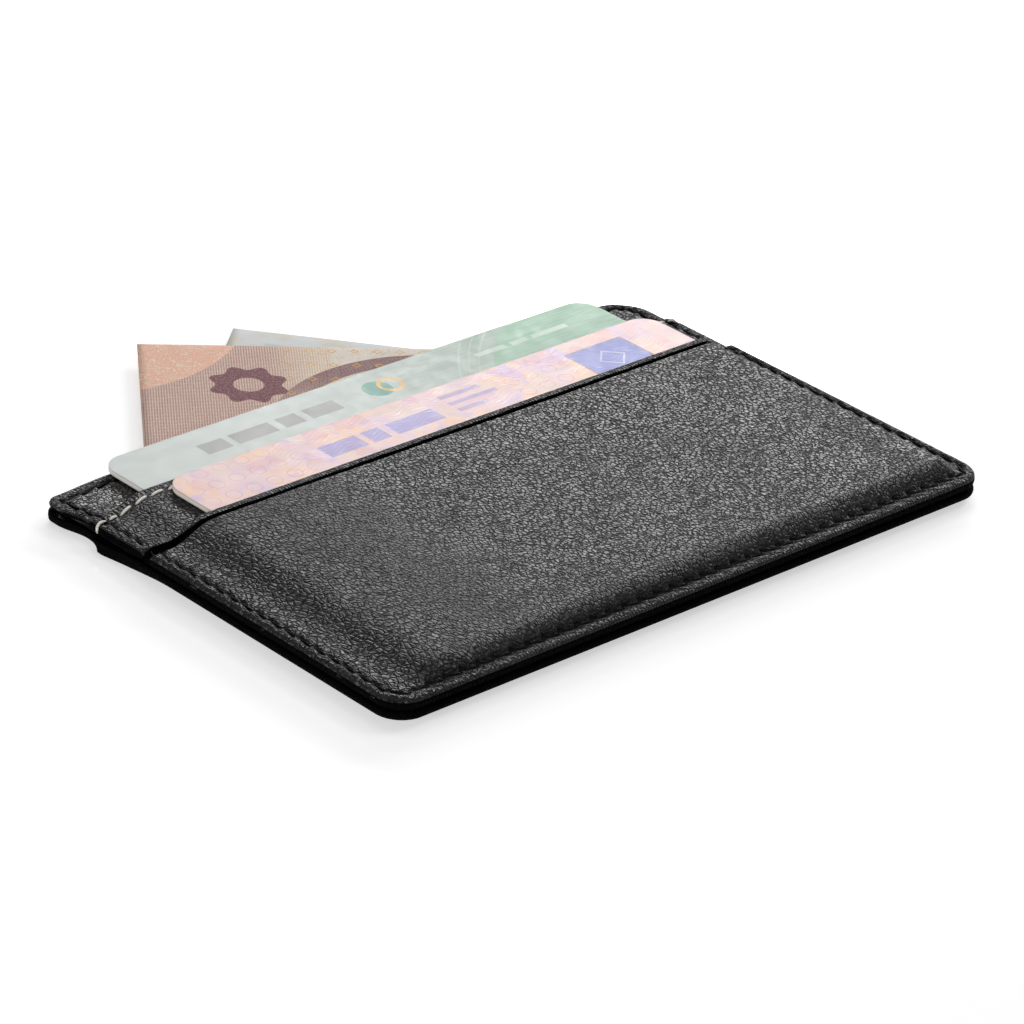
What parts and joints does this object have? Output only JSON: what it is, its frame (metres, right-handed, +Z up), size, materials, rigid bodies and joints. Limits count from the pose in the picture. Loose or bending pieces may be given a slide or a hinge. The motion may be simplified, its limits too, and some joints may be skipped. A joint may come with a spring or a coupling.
{
  "type": "rfid card holder",
  "caption": "Slim black leather card holder of sewn halves with shielding foil, card pockets in front and behind and an open note compartment; its cards and notes slide out.",
  "frame": {"origin": "middle of the flat face of the back pocket that rests on the table", "axes": "+X along the holder's width, +Y out of the open edge where cards and notes leave, +Z up out of the front"},
  "size_m": [0.1032, 0.0967, 0.0055],
  "materials": {
    "black_leather": "pebbled semi-matt black",
    "grey_lining": "fine twill lining",
    "grey_board": "thin fibre stiffener board",
    "bright_foil": "plain shielding foil",
    "black_thread": "black polyester thread",
    "cream_thread": "cream polyester thread",
    "pink_card": "printed card, satin",
    "green_card": "printed card, satin",
    "salmon_paper": "printed cotton paper",
    "blue_paper": "printed cotton paper"
  },
  "bodies": {
    "holder": {"back_pocket_panel": "black_leather", "back_cover": "black_leather", "back_stiffener_board": "grey_board", "back_shield_foil": "bright_foil", "back_lining": "grey_lining", "front_lining": "grey_lining", "front_shield_foil": "bright_foil", "front_stiffener_board": "grey_board", "front_cover": "black_leather", "upper_pocket_lining": "grey_lining", "upper_pocket_panel": "black_leather", "lower_pocket_lining": "grey_lining", "lower_pocket_panel": "black_leather", "lower_pocket_lip": "black_leather", "front_edge_thread": "black_thread", "back_edge_thread": "black_thread", "upper_pocket_hem_thread": "cream_thread", "back_pocket_hem_thread": "cream_thread", "upper_pocket_floor_thread": "black_thread"},
    "licence_card_body": {"licence_card": "pink_card"},
    "bank_card_body": {"bank_card": "green_card"},
    "front_note_body": {"front_note": "salmon_paper"},
    "rear_note_body": {"rear_note": "blue_paper"}
  },
  "joints": [
    {"name": "licence_card_slide", "type": "slide", "parent": "holder", "child": "licence_card_body", "axis": [0, 1, 0], "range_m": [-0.0005, 0.045]},
    {"name": "bank_card_slide", "type": "slide", "parent": "holder", "child": "bank_card_body", "axis": [0, 1, 0], "range_m": [-0.002, 0.045]},
    {"name": "front_note_slide", "type": "slide", "parent": "holder", "child": "front_note_body", "axis": [0, 1, 0], "range_m": [-0.024, 0.04]},
    {"name": "rear_note_slide", "type": "slide", "parent": "holder", "child": "rear_note_body", "axis": [0, 1, 0], "range_m": [-0.017, 0.046]}
  ]
}
